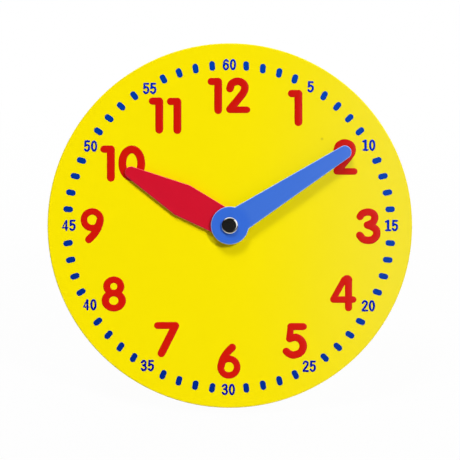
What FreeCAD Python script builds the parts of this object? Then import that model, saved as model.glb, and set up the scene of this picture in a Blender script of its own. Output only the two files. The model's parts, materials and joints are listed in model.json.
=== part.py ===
import FreeCAD, Part
import math
import os

# A geared teaching clock: a round moulded dial with a minute hand and an hour hand that turn
# together through a gear train in a case on the back, a thumb wheel behind to set them, a
# keyhole to hang it by, and a leg that folds out of the back to stand it on a table.
#
# Everything is built in the dial's own frame, in millimetres: X to the right and Z up to 12
# o'clock, as seen from the front, and Y from the front to the back. The spindle is the Y axis
# and the face of the dial is the plane Y = 0. At the end all pieces lean back together on to
# the leg.

# ---------------------------------------------------------------- driving dimensions, mm, degrees
# dial: a shallow round tray
DIAL_DIA = 300.0
DIAL_WALL = 3.0
RIM_WALL = 2.4
RIM_DEPTH = 20.0
FRONT_EDGE_BEVEL = 0.7
RIB_COUNT = 8
RIB_WALL = 2.0
RIB_HEIGHT = 3.0
RING_RIB_INSET = 41.0

# how it stands: the rim has a narrow flat where it meets the table
LEAN = 20.0
RIM_FLAT_HALF_WIDTH = 20.0

# hands, and where they point, clockwise from 12 o'clock
HAND_THICKNESS = 2.0
HAND_GAP = 1.0
HAND_EDGE_BEVEL = 0.4
MINUTE_LENGTH = 117.0
MINUTE_HUB_DIA = 31.0
MINUTE_ROOT_DIA = 22.0
MINUTE_TIP_DIA = 11.0
MINUTE_ANGLE = 57.5
HOUR_LENGTH = 97.0
HOUR_HUB_DIA = 26.0
HOUR_ROOT_DIA = 22.6
HOUR_SHOULDER_DIA = 27.2
HOUR_SHOULDER_RADIUS = 43.4
HOUR_TIP_DIA = 10.0
HOUR_ANGLE = 298.2

# gear train: 15 drives 45, and 12 on the same idler drives 48, which is 12 to 1
MODULE = 1.0
PRESSURE_ANGLE = 20.0
ADDENDUM = 1.0
DEDENDUM = 1.25
BACKLASH = 0.2
FIRST_STEP = 3
SECOND_STEP = 4
MINUTE_PINION_TEETH = 15
IDLER_PINION_TEETH = 12
MINUTE_PINION_SHIFT = 0.2
IDLER_PINION_SHIFT = 0.3
GEAR_FACE = 3.0
LAYER_GAP = 0.4
GEAR_RIM_WALL = 2.6
WINDOW_COUNT = 6
SPOKE_WIDTH = 3.4

# spindle, pipe and post
SPINDLE_DIA = 5.0
SPINDLE_ACROSS_FLATS = 4.0
PIPE_DIA = 10.0
PIPE_ACROSS_FLATS = 8.6
PIPE_LIP = 0.3
LAND_WIDTH = 16.0
LAND_RISE = 1.0
HUB_DIA = 14.0
POST_DIA = 4.0
POST_SEAT_DEPTH = 3.0
IDLER_HUB_DIA = 8.0
IDLER_HUB_HEIGHT = 1.0

# bright cap on the front end of the spindle
CAP_DIA = 13.5
CAP_HEIGHT = 2.5
CAP_EDGE_BEVEL = 0.9
SPINDLE_IN_CAP = 1.5

# washers
HAND_WASHER_DIA = 9.0
HAND_WASHER_THICKNESS = 0.5
FRICTION_SPACE = 1.4
FRICTION_WASHER_DIA = 9.0
FRICTION_BORE_GAP = 0.15

# gear case: a fence round the train, closed by a clear cover on two screws
FENCE_WALL = 2.0
TOOTH_CLEARANCE = 2.0
COVER_WALL = 2.0
CASE_CORNER_BEVEL = 3.0
CASE_BOSS_INSET = 4.5
BOSS_WIDTH = 8.0
CASE_SCREW_DIA = 2.9
CASE_SCREW_LENGTH = 9.0
CASE_SCREW_HEAD_DIA = 5.6
CASE_SCREW_HEAD = 2.0
DRIVE_SLOT_WIDTH = 0.8
DRIVE_SLOT_DEPTH = 0.9

# thumb wheel behind the cover
KNOB_DIA = 34.0
KNOB_THICKNESS = 4.8
KNOB_GAP = 0.5
KNOB_GRIPS = 20
KNOB_GRIP_DEPTH = 0.9
KNOB_GRIP_SHARE = 0.3
KNOB_RECESS_DIA = 9.0
KNOB_RECESS_DEPTH = 2.2
KNOB_SCREW_DIA = 2.5
KNOB_SCREW_LENGTH = 7.0
KNOB_SCREW_HEAD_DIA = 5.0
KNOB_SCREW_HEAD = 1.7

# leg: two arms past the gear case, a cross bar and a foot bar, hinged on a pin between two ears
LEG_THICKNESS = 5.0
LEG_SUNK = 4.5
LEG_WALL = 2.0
LEG_POCKET = 2.6
ARM_WIDTH = 8.0
ARM_CLEARANCE = 8.0
HINGE_RISE = 21.0
HINGE_BARREL_DIA = 7.0
PIN_DIA = 3.0
PIN_HEAD_DIA = 5.4
PIN_HEAD = 1.2
PIN_CLIP_WIDTH = 6.0
PIN_CLIP_LENGTH = 1.6
EAR_WALL = 3.0
EAR_RADIUS = 4.2
SWING_GAP = 0.4
HEEL_LENGTH = 10.0
STOP_HEIGHT = 3.4
STOP_GAP = 0.05
CROSS_BAR_WIDTH = 8.0
CROSS_BAR_DROP = 17.0
FOOT_BAR_WIDTH = 18.0
FOOT_HALF_WIDTH = 27.0
FOOT_CLEARANCE = 2.6
ARM_BEND_RADIUS = 40.0
LEG_CORNER_RADIUS = 4.0
WINDOW_CORNER_RADIUS = 6.0

# rubber pads bonded under the leg's foot
PAD_WIDTH = 14.0
PAD_HEIGHT = 3.0
PAD_LIP = 0.6

# keyhole hanger: a steel plate on two bosses near the top
HANGER_INSET = 29.6
HANGER_WIDTH = 46.0
HANGER_HEIGHT = 20.0
HANGER_SHEET = 1.2
HANGER_CORNER_BEVEL = 2.0
HANGER_BOSS_HEIGHT = 5.0
HANGER_SCREW_SPACING = 34.0
HANGER_SCREW_LENGTH = 6.0
KEYHOLE_DIA = 9.0
KEYHOLE_SLOT_WIDTH = 4.4
KEYHOLE_SLOT_RISE = 8.0
KEYHOLE_DROP = 3.0

# fits: radial clearance of a turning shaft and of a pushed-in piece
RUNNING_FIT = 0.06
PUSH_FIT = 0.02
AXIAL_PLAY = 0.2

# ---------------------------------------------------------------- places worked out from them
AXIS_X = FreeCAD.Vector(1, 0, 0)
AXIS_Y = FreeCAD.Vector(0, 1, 0)
ORIGIN = FreeCAD.Vector(0, 0, 0)

dial_radius = DIAL_DIA / 2
rim_inner = dial_radius - RIM_WALL
wall_middle = DIAL_WALL / 2

# depths in front of the dial
hour_back = -HAND_GAP
hour_front = hour_back - HAND_THICKNESS
pipe_front = hour_front - PIPE_LIP
minute_back = hour_front - HAND_GAP
minute_front = minute_back - HAND_THICKNESS
cap_front = minute_front - CAP_HEIGHT
spindle_front = minute_front - SPINDLE_IN_CAP
hand_washer_front = (minute_back + pipe_front - HAND_WASHER_THICKNESS) / 2

# depths behind it
land_back = DIAL_WALL + LAND_RISE
first_front = land_back + AXIAL_PLAY
first_back = first_front + GEAR_FACE
second_front = first_back + LAYER_GAP
second_back = second_front + GEAR_FACE
cover_front = second_back + FRICTION_SPACE
cover_back = cover_front + COVER_WALL
knob_front = cover_back + KNOB_GAP
knob_back = knob_front + KNOB_THICKNESS
knob_floor = knob_back - KNOB_RECESS_DEPTH
spindle_back = knob_floor - AXIAL_PLAY

# gear train: the idler stands straight above the spindle
idler_wheel_teeth = MINUTE_PINION_TEETH * FIRST_STEP
hour_wheel_teeth = IDLER_PINION_TEETH * SECOND_STEP
centre_distance = MODULE * (MINUTE_PINION_TEETH + idler_wheel_teeth) / 2

# gear case
spindle_radius = SPINDLE_DIA / 2
pipe_radius = PIPE_DIA / 2
hour_wheel_radius = MODULE * (hour_wheel_teeth / 2 + ADDENDUM - IDLER_PINION_SHIFT)
idler_wheel_radius = MODULE * (idler_wheel_teeth / 2 + ADDENDUM - MINUTE_PINION_SHIFT)
case_half = hour_wheel_radius + TOOTH_CLEARANCE + FENCE_WALL
case_top = centre_distance + idler_wheel_radius + TOOTH_CLEARANCE + FENCE_WALL
case_screw_x = case_half - CASE_BOSS_INSET
CASE_SCREWS = [
    (-case_screw_x, CASE_BOSS_INSET - case_half),
    (case_screw_x, case_top - CASE_BOSS_INSET),
]

# leg hinge, and the leg folded flat inside the rim
arm_inner = case_half + ARM_CLEARANCE
arm_outer = arm_inner + ARM_WIDTH
hinge_y = RIM_DEPTH - LEG_SUNK - LEG_THICKNESS / 2
hinge_z = case_top + HINGE_RISE
hinge = FreeCAD.Vector(0, hinge_y, hinge_z)
leg_front = hinge_y - LEG_THICKNESS / 2
leg_back = hinge_y + LEG_THICKNESS / 2
leg_length = hinge_z + math.sqrt(rim_inner ** 2 - FOOT_HALF_WIDTH ** 2) - FOOT_CLEARANCE
leg_end = hinge_z - leg_length
leg_top = hinge_z + HEEL_LENGTH
arm_bend = -case_half
cross_bar_top = -case_half - CROSS_BAR_DROP
cross_bar_bottom = cross_bar_top - CROSS_BAR_WIDTH
foot_bar_top = leg_end + FOOT_BAR_WIDTH
ear_inner = arm_outer + SWING_GAP
ear_outer = ear_inner + EAR_WALL
stop_top = DIAL_WALL + STOP_HEIGHT

# the table, seen from the dial: a plane tilted by the lean that cuts the flat on the rim
lean = math.radians(LEAN)
flat_drop = math.sqrt(dial_radius ** 2 - RIM_FLAT_HALF_WIDTH ** 2)
table_drop = flat_drop * math.cos(lean) + RIM_DEPTH * math.sin(lean)
hinge_height = table_drop + hinge_z * math.cos(lean) - hinge_y * math.sin(lean)
open_angle = LEAN + math.degrees(math.acos(hinge_height / leg_length))

# hanger
hanger_z = rim_inner - HANGER_INSET
hanger_front = DIAL_WALL + HANGER_BOSS_HEIGHT
hanger_back = hanger_front + HANGER_SHEET
keyhole_z = hanger_z - KEYHOLE_DROP
HANGER_SCREWS = [(-HANGER_SCREW_SPACING / 2, hanger_z), (HANGER_SCREW_SPACING / 2, hanger_z)]


# ---------------------------------------------------------------- shapes
def corner_wire(corners, place, rounded=True):
    """Closed outline through corners (a, b, size), each rounded to that radius or bevelled by it."""
    spots = []
    for i, (a, b, size) in enumerate(corners):
        here = FreeCAD.Vector(a, b, 0)
        last = FreeCAD.Vector(corners[i - 1][0], corners[i - 1][1], 0)
        following = corners[(i + 1) % len(corners)]
        back = (last - here).normalize()
        ahead = (FreeCAD.Vector(following[0], following[1], 0) - here).normalize()
        half = back.getAngle(ahead) / 2
        reach = size / math.tan(half) if rounded else size
        middle = here + (back + ahead).normalize() * (size / math.sin(half) - size)
        spots.append([place(p.x, p.y) for p in (here + back * reach, middle, here + ahead * reach)])
    edges = []
    for i, (start, middle, end) in enumerate(spots):
        if corners[i][2] > 0 and rounded:
            edges.append(Part.Arc(start, middle, end).toShape())
        if corners[i][2] > 0 and not rounded:
            edges.append(Part.LineSegment(start, end).toShape())
        edges.append(Part.LineSegment(end, spots[(i + 1) % len(spots)][0]).toShape())
    return Part.Wire(edges)


def turned(corners):
    """Solid of revolution about the spindle from corners (distance from the axis, y, bevel)."""
    wire = corner_wire(corners, lambda r, y: FreeCAD.Vector(r, y, 0), rounded=False)
    return Part.Face(wire).revolve(ORIGIN, AXIS_Y, 360)


def plate(corners, y_front, y_back, rounded=True):
    """Flat plate between two depths from corners (x, z, radius or bevel)."""
    wire = corner_wire(corners, lambda x, z: FreeCAD.Vector(x, y_front, z), rounded)
    return Part.Face(wire).extrude(AXIS_Y * (y_back - y_front))


def block(x_low, x_high, y_front, y_back, z_low, z_high):
    """Plain block between limits along the three axes."""
    corner = FreeCAD.Vector(x_low, y_front, z_low)
    return Part.makeBox(x_high - x_low, y_back - y_front, z_high - z_low, corner)


def disc(radius, y_front, y_back, x=0.0, z=0.0):
    """Round plate or rod along the spindle's direction between two depths."""
    return Part.makeCylinder(radius, y_back - y_front, FreeCAD.Vector(x, y_front, z), AXIS_Y)


def rod(radius, x_left, x_right, y, z):
    """Round rod along X."""
    return Part.makeCylinder(radius, x_right - x_left, FreeCAD.Vector(x_left, y, z), AXIS_X)


def belt(z_low, radius_low, z_high, radius_high, y_front, y_back):
    """Plate whose outline runs like a belt round two circles on the centre line."""
    lift = math.asin((radius_low - radius_high) / (z_high - z_low))

    def on_circle(z, radius, angle):
        return FreeCAD.Vector(radius * math.cos(angle), y_front, z + radius * math.sin(angle))

    low = [on_circle(z_low, radius_low, a) for a in (math.pi - lift, -math.pi / 2, lift)]
    high = [on_circle(z_high, radius_high, a) for a in (lift, math.pi / 2, math.pi - lift)]
    wire = Part.Wire([
        Part.Arc(*low).toShape(),
        Part.LineSegment(low[2], high[0]).toShape(),
        Part.Arc(*high).toShape(),
        Part.LineSegment(high[2], low[0]).toShape(),
    ])
    return Part.Face(wire).extrude(AXIS_Y * (y_back - y_front))


def double_d(radius, across_flats, y_front, y_back):
    """Rod with two flats, one at each side of the spindle axis."""
    flats = block(-across_flats / 2, across_flats / 2, y_front, y_back, -radius * 2, radius * 2)
    return disc(radius, y_front, y_back).common(flats)


def joined(shapes):
    """One solid from pieces that overlap or share a face."""
    return shapes[0].fuse(shapes[1:]).removeSplitter()


def mirrored(shape):
    """The same shape at the other side of the dial's centre line."""
    return shape.mirror(ORIGIN, AXIS_X)


def edges_at_depth(shape, y):
    """Edges that lie wholly at one depth."""
    return [e for e in shape.Edges if abs(e.BoundBox.YMin - y) + abs(e.BoundBox.YMax - y) < 1e-3]


def pointed(shape, clockwise):
    """A hand drawn at 12 o'clock, turned clockwise as seen from the front."""
    return shape.rotated(ORIGIN, AXIS_Y, clockwise)


def opened(shape):
    """A piece of the folded leg, swung out on its hinge until the clock can stand."""
    return shape.rotated(hinge, AXIS_X, open_angle)


def above_table(height):
    """All the space more than this height above the table."""
    size = DIAL_DIA * 4
    space = Part.makeBox(size, size, size, FreeCAD.Vector(-size / 2, -size / 2, height - table_drop))
    return space.rotated(ORIGIN, AXIS_X, LEAN)


# ---------------------------------------------------------------- gears
def involute(base, radius):
    """Angle from the root of a flank, on its base circle, to its point at this radius."""
    pressure = math.acos(base / radius)
    return math.tan(pressure) - pressure


def gear(teeth, shift, y_front, y_back, z, tooth_angle):
    """Spur gear about (0, z), with the middle of one tooth at tooth_angle from +X towards +Z.

    A wheel's flank is one line through its involute at a quarter and three quarters of its
    height. A pinion's is a radial line up to the base circle and two chords of its involute.
    """
    pressure = math.radians(PRESSURE_ANGLE)
    pitch = MODULE * teeth / 2
    base = pitch * math.cos(pressure)
    tip = pitch + MODULE * (ADDENDUM + shift)
    root = pitch - MODULE * (DEDENDUM - shift)
    thickness = MODULE * (math.pi / 2 + 2 * shift * math.tan(pressure)) - BACKLASH / 2
    half_base = thickness / 2 / pitch + math.tan(pressure) - pressure
    inner = max(base, root)
    low = inner + (tip - inner) / 4
    high = tip - (tip - inner) / 4
    lean_in = (involute(base, high) - involute(base, low)) / (high - low)
    flank = [(r, half_base - involute(base, low) - lean_in * (r - low)) for r in (root, tip)]
    if base - root > MODULE / 4:
        flank = [(r, half_base - involute(base, r)) for r in (base, (base + tip) / 2, tip)]
        flank.insert(0, (root, half_base))
    points = []
    for i in range(teeth):
        middle = math.radians(tooth_angle) + 2 * math.pi * i / teeth
        for r, angle in [(r, -a) for r, a in flank] + flank[::-1]:
            x = r * math.cos(middle + angle)
            points.append(FreeCAD.Vector(x, y_front, z + r * math.sin(middle + angle)))
    return Part.Face(Part.makePolygon(points + points[:1])).extrude(AXIS_Y * (y_back - y_front))


def spoked(wheel, root, hub, y_front, y_back, z):
    """A wheel with straight-sided windows that leave spokes between its hub and its rim."""
    windows = []
    for i in range(WINDOW_COUNT):
        middle = 2 * math.pi * (i + 0.5) / WINDOW_COUNT
        corners = []
        for radius, side in ((hub, -1), (root - GEAR_RIM_WALL, -1), (root - GEAR_RIM_WALL, 1), (hub, 1)):
            angle = middle + side * (math.pi / WINDOW_COUNT - math.asin(SPOKE_WIDTH / 2 / radius))
            corners.append((radius * math.cos(angle), z + radius * math.sin(angle), 0))
        windows.append(plate(corners, y_front, y_back))
    return wheel.cut(windows)


def screw(radius, length, head_radius, head, y, x=0.0, z=0.0):
    """Slotted screw put in from behind, with its head on the surface at depth y."""
    top = disc(head_radius, y, y + head, x, z)
    half = DRIVE_SLOT_WIDTH / 2
    floor = y + head - DRIVE_SLOT_DEPTH
    slot = block(x - head_radius, x + head_radius, floor, y + head, z - half, z + half)
    return joined([top.cut(slot), disc(radius, y - length, y, x, z)])


# ---------------------------------------------------------------- dial and what is fixed to it
def dial_shell():
    """The tray: a flat face and a skirt round it."""
    return turned([
        (0, 0, 0),
        (dial_radius, 0, FRONT_EDGE_BEVEL),
        (dial_radius, RIM_DEPTH, 0),
        (rim_inner, RIM_DEPTH, 0),
        (rim_inner, DIAL_WALL, 0),
        (0, DIAL_WALL, 0),
    ])


def case_plate(inset, y_front, y_back):
    """The gear case's outline as a plate, with its edges moved in by inset."""
    x = case_half - inset
    bevel = CASE_CORNER_BEVEL - inset * (2 - math.sqrt(2))
    low = inset - case_half
    high = case_top - inset
    corners = [(-x, low, bevel), (x, low, bevel), (x, high, bevel), (-x, high, bevel)]
    return plate(corners, y_front, y_back, rounded=False)


def dial_ribs():
    """Radial ribs from the gear case to the skirt, and straight ones between them in a ring."""
    top = DIAL_WALL + RIB_HEIGHT
    low = wall_middle
    half = RIB_WALL / 2
    ring = rim_inner - RING_RIB_INSET
    step = math.pi / RIB_COUNT
    apothem = ring * math.cos(step)
    reach = ring * math.sin(step)
    ribs = []
    for i in range(RIB_COUNT):
        radial = block(0, rim_inner + RIM_WALL / 2, low, top, -half, half)
        ribs.append(radial.rotated(ORIGIN, AXIS_Y, 360 * (i + 0.5) / RIB_COUNT))
        chord = block(apothem - half, apothem + half, low, top, -reach, reach)
        ribs.append(chord.rotated(ORIGIN, AXIS_Y, 360 * i / RIB_COUNT))
    case = case_plate(0, 0, top)
    return [rib.cut(case) for rib in ribs]


def boss(x, z, y_back):
    """Square moulded boss on the back of the dial, for a screw."""
    half = BOSS_WIDTH / 2
    return block(x - half, x + half, wall_middle, y_back, z - half, z + half)


def dial_case():
    """Fence round the gear train, the land that the gears run on, and two screw bosses."""
    filled = case_plate(0, wall_middle, cover_front)
    fence = filled.cut(case_plate(FENCE_WALL, wall_middle, cover_front))
    half = LAND_WIDTH / 2
    land = block(-half, half, wall_middle, land_back, -half, centre_distance + half)
    return [fence, land] + [boss(x, z, cover_front).common(filled) for x, z in CASE_SCREWS]


def dial_hinge():
    """Two ears for the leg's pin, and the two pads that its heels stop against."""
    ear = block(ear_inner, ear_outer, wall_middle, hinge_y, hinge_z - EAR_RADIUS, hinge_z + EAR_RADIUS)
    ear = ear.fuse(rod(EAR_RADIUS, ear_inner, ear_outer, hinge_y, hinge_z))
    stop = block(arm_inner, arm_outer, wall_middle, stop_top, hinge_z + HINGE_BARREL_DIA / 2, leg_top)
    return [ear, stop, mirrored(ear), mirrored(stop)]


def dial_plate():
    """The moulded dial with all that is moulded on to its back."""
    hanger_bosses = [boss(x, z, hanger_front) for x, z in HANGER_SCREWS]
    solid = joined([dial_shell()] + dial_ribs() + dial_case() + dial_hinge() + hanger_bosses)
    holes = [disc(pipe_radius + RUNNING_FIT, 0, land_back)]
    post_hole = POST_DIA / 2 + PUSH_FIT
    holes.append(disc(post_hole, land_back - POST_SEAT_DEPTH, land_back, z=centre_distance))
    for x, z in CASE_SCREWS:
        end = cover_back - CASE_SCREW_LENGTH - AXIAL_PLAY
        holes.append(disc(CASE_SCREW_DIA / 2 + PUSH_FIT, end, cover_front, x, z))
    for x, z in HANGER_SCREWS:
        end = hanger_back - HANGER_SCREW_LENGTH - AXIAL_PLAY
        holes.append(disc(CASE_SCREW_DIA / 2 + PUSH_FIT, end, hanger_front, x, z))
    holes.append(rod(PIN_DIA / 2 + PUSH_FIT, -ear_outer, ear_outer, hinge_y, hinge_z))
    return solid.cut(holes).common(above_table(0))


def idler_post():
    """Steel post that the idler turns on, seated in the dial and steadied by the cover."""
    post = disc(POST_DIA / 2, land_back - POST_SEAT_DEPTH, cover_back)
    return post.translated(FreeCAD.Vector(0, 0, centre_distance))


def gear_cover():
    """Clear cover over the gear train."""
    holes = [disc(CASE_SCREW_DIA / 2 + PUSH_FIT, cover_front, cover_back, x, z) for x, z in CASE_SCREWS]
    holes.append(disc(spindle_radius + RUNNING_FIT, cover_front, cover_back))
    holes.append(disc(POST_DIA / 2 + PUSH_FIT, cover_front, cover_back, z=centre_distance))
    return case_plate(0, cover_front, cover_back).cut(holes)


def cover_screws():
    """Two self-tapping screws that hold the cover, at opposite corners."""
    sizes = (CASE_SCREW_DIA / 2, CASE_SCREW_LENGTH, CASE_SCREW_HEAD_DIA / 2, CASE_SCREW_HEAD)
    return Part.Compound([screw(*sizes, cover_back, x, z) for x, z in CASE_SCREWS])


def friction_washer():
    """Rubber washer between the minute pinion and the cover: the hands stay where put."""
    front = second_back + RUNNING_FIT
    back = cover_front - RUNNING_FIT
    washer = disc(FRICTION_WASHER_DIA / 2, front, back)
    return washer.cut(disc(spindle_radius + FRICTION_BORE_GAP, front, back))


def hanger_plate():
    """Steel plate with a keyhole: a round entry and a slot that drops on to a wall screw."""
    x = HANGER_WIDTH / 2
    z = HANGER_HEIGHT / 2
    corners = [(-x, -z), (x, -z), (x, z), (-x, z)]
    corners = [(a, hanger_z + b, HANGER_CORNER_BEVEL) for a, b in corners]
    sheet = plate(corners, hanger_front, hanger_back, rounded=False)
    slot = KEYHOLE_SLOT_WIDTH / 2
    slot_top = keyhole_z + KEYHOLE_SLOT_RISE
    holes = [
        disc(KEYHOLE_DIA / 2, hanger_front, hanger_back, z=keyhole_z),
        disc(slot, hanger_front, hanger_back, z=slot_top),
        block(-slot, slot, hanger_front, hanger_back, keyhole_z, slot_top),
    ]
    for x, z in HANGER_SCREWS:
        holes.append(disc(CASE_SCREW_DIA / 2 + PUSH_FIT, hanger_front, hanger_back, x, z))
    return sheet.cut(joined(holes[:3])).cut(holes[3:])


def hanger_screws():
    """Two screws that hold the keyhole plate."""
    sizes = (CASE_SCREW_DIA / 2, HANGER_SCREW_LENGTH, CASE_SCREW_HEAD_DIA / 2, CASE_SCREW_HEAD)
    return Part.Compound([screw(*sizes, hanger_back, x, z) for x, z in HANGER_SCREWS])


def stand_pin():
    """Steel hinge pin across the back, with a head at one end."""
    pin = rod(PIN_DIA / 2, -ear_outer, ear_outer + PIN_CLIP_LENGTH, hinge_y, hinge_z)
    return joined([pin, rod(PIN_HEAD_DIA / 2, -ear_outer - PIN_HEAD, -ear_outer, hinge_y, hinge_z)])


def pin_clip():
    """Square push-on clip at the other end of the hinge pin."""
    end = ear_outer + PIN_CLIP_LENGTH
    half = PIN_CLIP_WIDTH / 2
    clip = block(ear_outer, end, hinge_y - half, hinge_y + half, hinge_z - half, hinge_z + half)
    return clip.cut(rod(PIN_DIA / 2 + PUSH_FIT, ear_outer, end, hinge_y, hinge_z))


# ---------------------------------------------------------------- hands, spindle and gears
def minute_hand():
    """Round hub and a straight blade with a round tip."""
    tip = MINUTE_TIP_DIA / 2
    hub = disc(MINUTE_HUB_DIA / 2, minute_front, minute_back)
    blade = belt(0, MINUTE_ROOT_DIA / 2, MINUTE_LENGTH - tip, tip, minute_front, minute_back)
    hand = joined([hub, blade])
    hand = hand.makeChamfer(HAND_EDGE_BEVEL, edges_at_depth(hand, minute_front))
    across = SPINDLE_ACROSS_FLATS + 2 * PUSH_FIT
    bore = double_d(spindle_radius + PUSH_FIT, across, minute_front, minute_back)
    return pointed(hand.cut(bore), MINUTE_ANGLE)


def hour_hand():
    """Blade that widens to a shoulder and tapers to a round tip, on a round hub."""
    shoulder = HOUR_SHOULDER_DIA / 2
    tip = HOUR_TIP_DIA / 2
    at_depth = (hour_front, hour_back)
    hand = joined([
        disc(HOUR_HUB_DIA / 2, *at_depth),
        belt(0, HOUR_ROOT_DIA / 2, HOUR_SHOULDER_RADIUS, shoulder, *at_depth),
        belt(HOUR_SHOULDER_RADIUS, shoulder, HOUR_LENGTH - tip, tip, *at_depth),
    ])
    hand = hand.makeChamfer(HAND_EDGE_BEVEL, edges_at_depth(hand, hour_front))
    bore = double_d(pipe_radius + PUSH_FIT, PIPE_ACROSS_FLATS + 2 * PUSH_FIT, *at_depth)
    return pointed(hand.cut(bore), HOUR_ANGLE)


def hand_washer():
    """Thin washer that keeps the two hands apart."""
    back = hand_washer_front + HAND_WASHER_THICKNESS
    washer = disc(HAND_WASHER_DIA / 2, hand_washer_front, back)
    return washer.cut(disc(spindle_radius + PUSH_FIT, hand_washer_front, back))


def spindle():
    """Steel spindle with two flats at each end and a tapped hole for the thumb wheel's screw."""
    bar = joined([
        double_d(spindle_radius, SPINDLE_ACROSS_FLATS, spindle_front, minute_back),
        disc(spindle_radius, minute_back, second_front),
        double_d(spindle_radius, SPINDLE_ACROSS_FLATS, second_front, spindle_back),
    ])
    depth = knob_floor - KNOB_SCREW_LENGTH - AXIAL_PLAY
    bar = bar.cut(disc(KNOB_SCREW_DIA / 2 + PUSH_FIT, depth, spindle_back))
    return pointed(bar, MINUTE_ANGLE)


def spindle_cap():
    """Bright flat-topped cap pushed on to the spindle's front end."""
    grip = spindle_radius + PUSH_FIT
    return turned([
        (grip, minute_front, 0),
        (CAP_DIA / 2, minute_front, 0),
        (CAP_DIA / 2, cap_front, CAP_EDGE_BEVEL),
        (0, cap_front, 0),
        (0, spindle_front - AXIAL_PLAY, 0),
        (grip, spindle_front - AXIAL_PLAY, 0),
    ])


def minute_pinion():
    """Pinion driven by the spindle's flats."""
    wheel = gear(MINUTE_PINION_TEETH, MINUTE_PINION_SHIFT, second_front, second_back, 0, 90)
    across = SPINDLE_ACROSS_FLATS + 2 * PUSH_FIT
    bore = double_d(spindle_radius + PUSH_FIT, across, second_front, second_back)
    return wheel.cut(pointed(bore, MINUTE_ANGLE))


def setting_knob():
    """Thumb wheel with a ribbed grip on the back end of the spindle."""
    outer = KNOB_DIA / 2
    inner = outer - KNOB_GRIP_DEPTH
    step = 2 * math.pi / KNOB_GRIPS
    half = step * KNOB_GRIP_SHARE / 2
    corners = []
    for i in range(2 * KNOB_GRIPS):
        radius = (outer, inner)[i % 2]
        for turn in (i * step / 2 - half, i * step / 2 + half):
            corners.append((radius * math.cos(turn), radius * math.sin(turn), 0))
    knob = plate(corners, knob_front, knob_back).cut(disc(KNOB_RECESS_DIA / 2, knob_floor, knob_back))
    across = SPINDLE_ACROSS_FLATS + 2 * PUSH_FIT
    bore = double_d(spindle_radius + PUSH_FIT, across, knob_front, knob_floor)
    return knob.cut(pointed(bore, MINUTE_ANGLE))


def knob_screw():
    """Screw in the thumb wheel's recess that holds it on the spindle."""
    sizes = (KNOB_SCREW_DIA / 2, KNOB_SCREW_LENGTH, KNOB_SCREW_HEAD_DIA / 2, KNOB_SCREW_HEAD)
    return screw(*sizes, knob_floor)


def hour_wheel():
    """Hour wheel in one piece with the pipe that carries the hour hand."""
    at_depth = (first_front, first_back)
    wheel = gear(hour_wheel_teeth, -IDLER_PINION_SHIFT, *at_depth, 0, 90 + 180 / hour_wheel_teeth)
    root = MODULE * (hour_wheel_teeth / 2 - DEDENDUM - IDLER_PINION_SHIFT)
    wheel = spoked(wheel, root, HUB_DIA / 2, *at_depth, 0)
    flats = double_d(pipe_radius, PIPE_ACROSS_FLATS, pipe_front, hour_back)
    pipe = disc(pipe_radius, hour_back, first_front)
    bore = disc(spindle_radius + RUNNING_FIT, pipe_front, first_back)
    return joined([wheel, pipe, pointed(flats, HOUR_ANGLE)]).cut(bore)


def idler_gear():
    """Idler in one piece: the large wheel, the small pinion in front of it and a short hub."""
    z = centre_distance
    at_depth = (second_front, second_back)
    wheel = gear(idler_wheel_teeth, -MINUTE_PINION_SHIFT, *at_depth, z, 270 + 180 / idler_wheel_teeth)
    root = MODULE * (idler_wheel_teeth / 2 - DEDENDUM - MINUTE_PINION_SHIFT)
    wheel = spoked(wheel, root, HUB_DIA / 2 + MODULE, *at_depth, z)
    pinion = gear(IDLER_PINION_TEETH, IDLER_PINION_SHIFT, first_front, second_front, z, 270)
    hub = disc(IDLER_HUB_DIA / 2, second_back, second_back + IDLER_HUB_HEIGHT, z=z)
    bore = disc(POST_DIA / 2 + RUNNING_FIT, first_front, second_back + IDLER_HUB_HEIGHT, z=z)
    return joined([wheel, pinion, hub]).cut(bore)


# ---------------------------------------------------------------- leg
def leg_half_width(z):
    """Half the width of the folded leg at this height: straight arms, then narrowing."""
    share = (arm_bend - z) / (arm_bend - leg_end)
    return arm_outer - (arm_outer - FOOT_HALF_WIDTH) * max(share, 0.0)


def leg_outline(inset):
    """Outer edge of the leg, moved in by this much."""
    half = arm_outer - inset
    foot = FOOT_HALF_WIDTH - inset
    corner = LEG_CORNER_RADIUS
    right = [
        (foot, leg_end + inset, corner),
        (half, arm_bend, ARM_BEND_RADIUS),
        (half, leg_top - inset, corner / 2),
    ]
    return right + [(-x, z, r) for x, z, r in reversed(right)]


def upper_window(outset, corner):
    """Opening between the arms, from the cross bar up past their ends, grown by this much."""
    half = arm_inner + outset
    bottom = cross_bar_top - outset
    low = leg_half_width(cross_bar_top) - ARM_WIDTH + outset
    top = leg_top + HEEL_LENGTH
    right = [
        (low, bottom, corner),
        (half, arm_bend, ARM_BEND_RADIUS),
        (half, top, 0),
    ]
    return right + [(-x, z, r) for x, z, r in reversed(right)]


def lower_window(outset, corner):
    """Opening between the cross bar and the foot bar, grown by this much."""
    top = leg_half_width(cross_bar_bottom) - ARM_WIDTH + outset
    low = leg_half_width(foot_bar_top) - ARM_WIDTH + outset
    right = [
        (low, foot_bar_top - outset, corner),
        (top, cross_bar_bottom + outset, corner),
    ]
    return right + [(-x, z, r) for x, z, r in reversed(right)]


def leg_panel(wall, corner, y_front, y_back):
    """The leg's flat shape between two depths, with its edges moved in by wall."""
    windows = [plate(outline(wall, corner), y_front, y_back) for outline in (upper_window, lower_window)]
    return plate(leg_outline(wall), y_front, y_back).cut(windows)


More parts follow.
